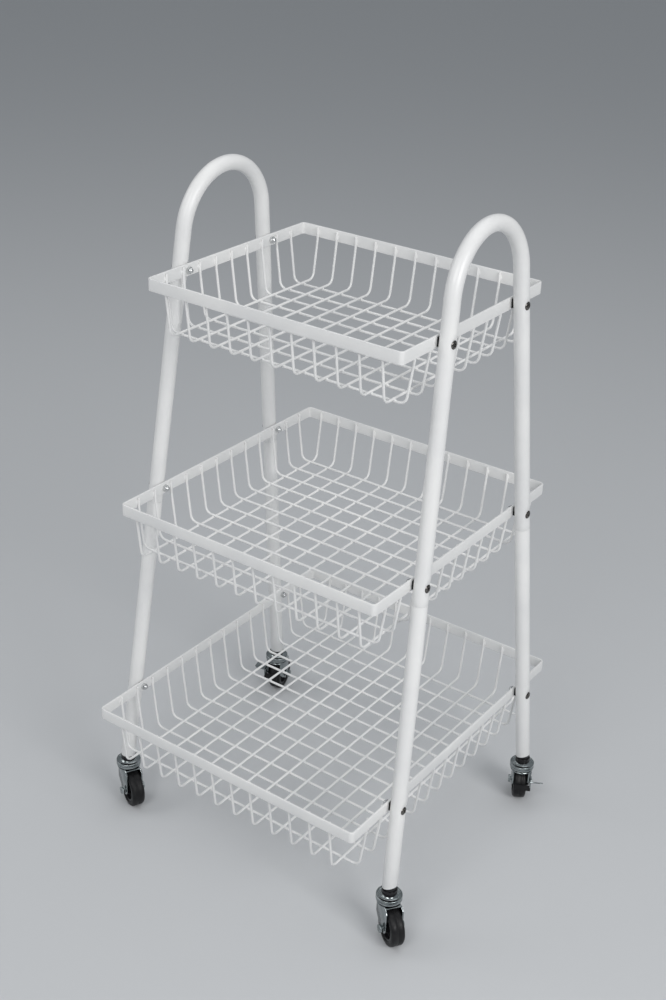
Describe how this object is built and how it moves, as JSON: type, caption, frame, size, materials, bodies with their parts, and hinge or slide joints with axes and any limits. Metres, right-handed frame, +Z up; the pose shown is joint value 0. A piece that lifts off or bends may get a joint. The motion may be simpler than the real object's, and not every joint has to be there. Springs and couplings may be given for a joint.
{
  "type": "kitchen cart",
  "caption": "Tall narrow kitchen cart: leaning white tube hoops carry open wire baskets that widen downward, on swivel casters with rear foot brakes.",
  "frame": {"origin": "on the floor, under the middle between the four swivel axes", "axes": "+X to the right hoop, -Y to the front, +Z up"},
  "size_m": [0.4977, 0.465, 0.872],
  "materials": {
    "white_coat": "white powder coat, satin, faint orange peel",
    "bright_zinc": "bright zinc plate with a cool cast",
    "dark_screws": "dark plated screw heads",
    "ball_steel": "polished balls",
    "black_plastic": "moulded black plastic",
    "hub_plastic": "moulded dark plastic",
    "black_rubber": "black rubber, slightly dusty tread"
  },
  "bodies": {
    "frame": {"left_hoop": "white_coat", "right_hoop": "white_coat", "front_left_leg": "white_coat", "front_right_leg": "white_coat", "rear_left_leg": "white_coat", "rear_right_leg": "white_coat", "top_rim": "white_coat", "top_cross_wires": "white_coat", "top_long_wires": "white_coat", "top_screws": "dark_screws", "top_nuts": "bright_zinc", "top_spacers": "black_plastic", "middle_rim": "white_coat", "middle_cross_wires": "white_coat", "middle_long_wires": "white_coat", "middle_screws": "dark_screws", "middle_nuts": "bright_zinc", "middle_spacers": "black_plastic", "bottom_rim": "white_coat", "bottom_cross_wires": "white_coat", "bottom_long_wires": "white_coat", "bottom_screws": "dark_screws", "bottom_nuts": "bright_zinc", "bottom_spacers": "black_plastic", "leg_sockets": "black_plastic", "swivel_balls": "ball_steel", "front_left_stem": "bright_zinc", "front_left_raceway": "bright_zinc", "front_right_stem": "bright_zinc", "front_right_raceway": "bright_zinc", "rear_left_stem": "bright_zinc", "rear_left_raceway": "bright_zinc", "rear_right_stem": "bright_zinc", "rear_right_raceway": "bright_zinc"},
    "front_left_swivel": {"front_left_fork": "bright_zinc", "front_left_axle": "bright_zinc", "front_left_axle_nut": "bright_zinc"},
    "front_left_wheel": {"front_left_hub": "hub_plastic", "front_left_tyre": "black_rubber"},
    "front_right_swivel": {"front_right_fork": "bright_zinc", "front_right_axle": "bright_zinc", "front_right_axle_nut": "bright_zinc"},
    "front_right_wheel": {"front_right_hub": "hub_plastic", "front_right_tyre": "black_rubber"},
    "rear_left_swivel": {"rear_left_fork": "bright_zinc", "rear_left_axle": "bright_zinc", "rear_left_axle_nut": "bright_zinc", "rear_left_brake_rivet": "bright_zinc"},
    "rear_left_wheel": {"rear_left_hub": "hub_plastic", "rear_left_tyre": "black_rubber"},
    "rear_left_lever": {"rear_left_brake_lever": "bright_zinc"},
    "rear_right_swivel": {"rear_right_fork": "bright_zinc", "rear_right_axle": "bright_zinc", "rear_right_axle_nut": "bright_zinc", "rear_right_brake_rivet": "bright_zinc"},
    "rear_right_wheel": {"rear_right_hub": "hub_plastic", "rear_right_tyre": "black_rubber"},
    "rear_right_lever": {"rear_right_brake_lever": "bright_zinc"}
  },
  "joints": [
    {"name": "front_left_swivel_turn", "type": "hinge", "parent": "frame", "child": "front_left_swivel", "pos_m": [-0.21533, -0.16636, 0.058], "axis": [0, 0, 1], "continuous": true},
    {"name": "front_left_wheel_spin", "type": "hinge", "parent": "front_left_swivel", "child": "front_left_wheel", "pos_m": [-0.20364, -0.17206, 0.025], "axis": [0.4384, 0.8988, 0], "continuous": true},
    {"name": "front_right_swivel_turn", "type": "hinge", "parent": "frame", "child": "front_right_swivel", "pos_m": [0.21533, -0.16636, 0.058], "axis": [0, 0, 1], "continuous": true},
    {"name": "front_right_wheel_spin", "type": "hinge", "parent": "front_right_swivel", "child": "front_right_wheel", "pos_m": [0.2261, -0.17363, 0.025], "axis": [0.5592, 0.829, 0], "continuous": true},
    {"name": "rear_left_swivel_turn", "type": "hinge", "parent": "frame", "child": "rear_left_swivel", "pos_m": [-0.21533, 0.16636, 0.058], "axis": [0, 0, 1], "continuous": true},
    {"name": "rear_left_wheel_spin", "type": "hinge", "parent": "rear_left_swivel", "child": "rear_left_wheel", "pos_m": [-0.21869, 0.17891, 0.025], "axis": [-0.9659, -0.2588, 0], "continuous": true},
    {"name": "rear_left_brake_press", "type": "hinge", "parent": "rear_left_swivel", "child": "rear_left_lever", "pos_m": [-0.21869, 0.17891, 0.038], "axis": [0.9659, 0.2588, 0], "range_deg": [0, 5]},
    {"name": "rear_right_swivel_turn", "type": "hinge", "parent": "frame", "child": "rear_right_swivel", "pos_m": [0.21533, 0.16636, 0.058], "axis": [0, 0, 1], "continuous": true},
    {"name": "rear_right_wheel_spin", "type": "hinge", "parent": "rear_right_swivel", "child": "rear_right_wheel", "pos_m": [0.20883, 0.17761, 0.025], "axis": [-0.866, -0.5, 0], "continuous": true},
    {"name": "rear_right_brake_press", "type": "hinge", "parent": "rear_right_swivel", "child": "rear_right_lever", "pos_m": [0.20883, 0.17761, 0.038], "axis": [0.866, 0.5, 0], "range_deg": [0, 5]}
  ]
}
